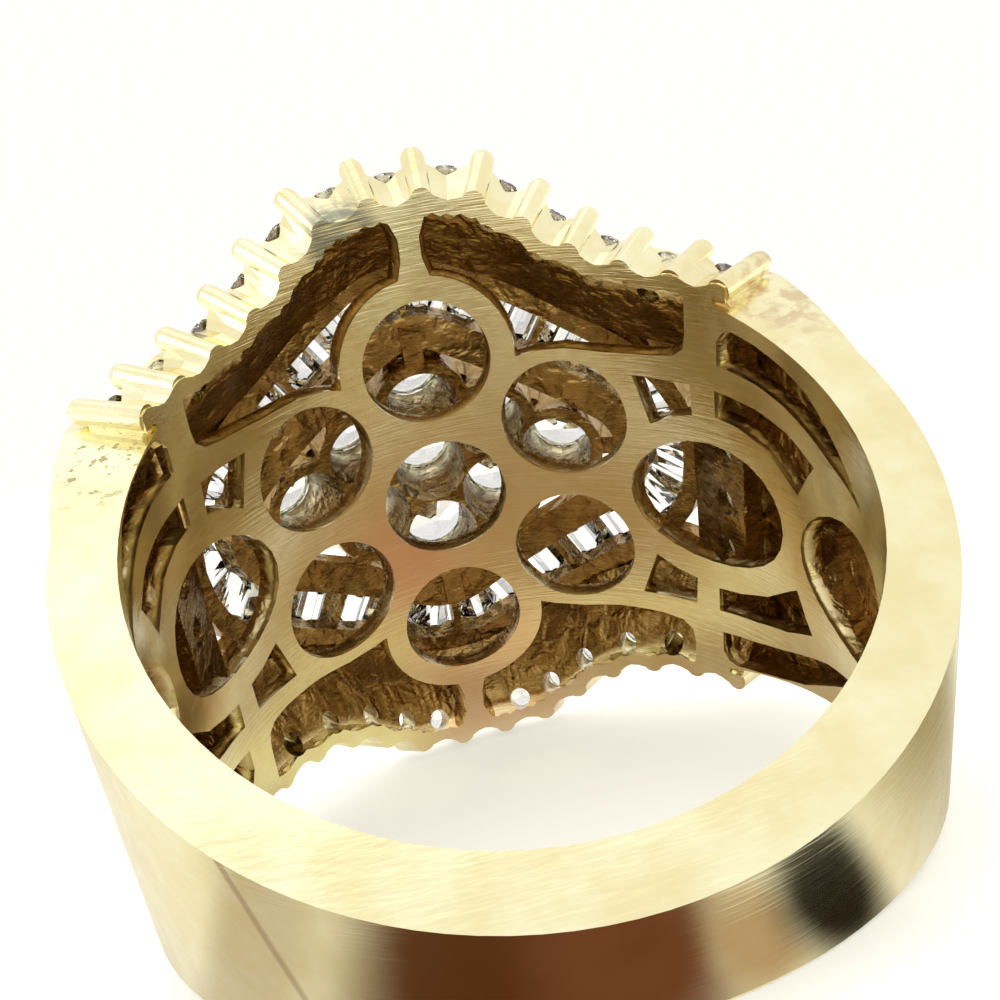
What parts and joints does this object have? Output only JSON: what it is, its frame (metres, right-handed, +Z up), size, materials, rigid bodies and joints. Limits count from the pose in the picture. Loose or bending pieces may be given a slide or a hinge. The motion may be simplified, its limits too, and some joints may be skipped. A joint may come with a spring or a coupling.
{
  "type": "cluster ring",
  "caption": "Wide gold finger ring with a pierced gallery, a raised cluster of round stones, a band of baguettes and a pronged edge of small stones.",
  "frame": {"origin": "middle of the ring's box on the surface that it lies on", "axes": "+Z up from the surface; the head with the stones is towards +Y, the band's back towards -Y; the finger hole leans 23.8 degrees from Z because the ring lies on its side"},
  "size_m": [0.0204, 0.0238, 0.0189],
  "materials": {
    "gold": "polished yellow gold, worn, brown in the recesses",
    "clear_stone": "clear cut stone, polished facets"
  },
  "bodies": {
    "root": {"mount": "gold", "round_1": "clear_stone", "round_2": "clear_stone", "round_3": "clear_stone", "round_4": "clear_stone", "round_5": "clear_stone", "round_6": "clear_stone", "round_7": "clear_stone", "round_8": "clear_stone", "round_9": "clear_stone", "corner_1": "clear_stone", "corner_2": "clear_stone", "corner_3": "clear_stone", "corner_4": "clear_stone", "baguette_1": "clear_stone", "baguette_2": "clear_stone", "baguette_3": "clear_stone", "baguette_4": "clear_stone", "baguette_5": "clear_stone", "baguette_6": "clear_stone", "baguette_7": "clear_stone", "baguette_8": "clear_stone", "baguette_9": "clear_stone", "baguette_10": "clear_stone", "baguette_11": "clear_stone", "baguette_12": "clear_stone", "baguette_13": "clear_stone", "baguette_14": "clear_stone", "baguette_15": "clear_stone", "baguette_16": "clear_stone", "baguette_17": "clear_stone", "baguette_18": "clear_stone", "baguette_19": "clear_stone", "baguette_20": "clear_stone", "baguette_21": "clear_stone", "baguette_22": "clear_stone", "baguette_23": "clear_stone", "baguette_24": "clear_stone", "baguette_25": "clear_stone", "baguette_26": "clear_stone", "baguette_27": "clear_stone", "baguette_28": "clear_stone", "halo_stones": "clear_stone"}
  },
  "joints": []
}
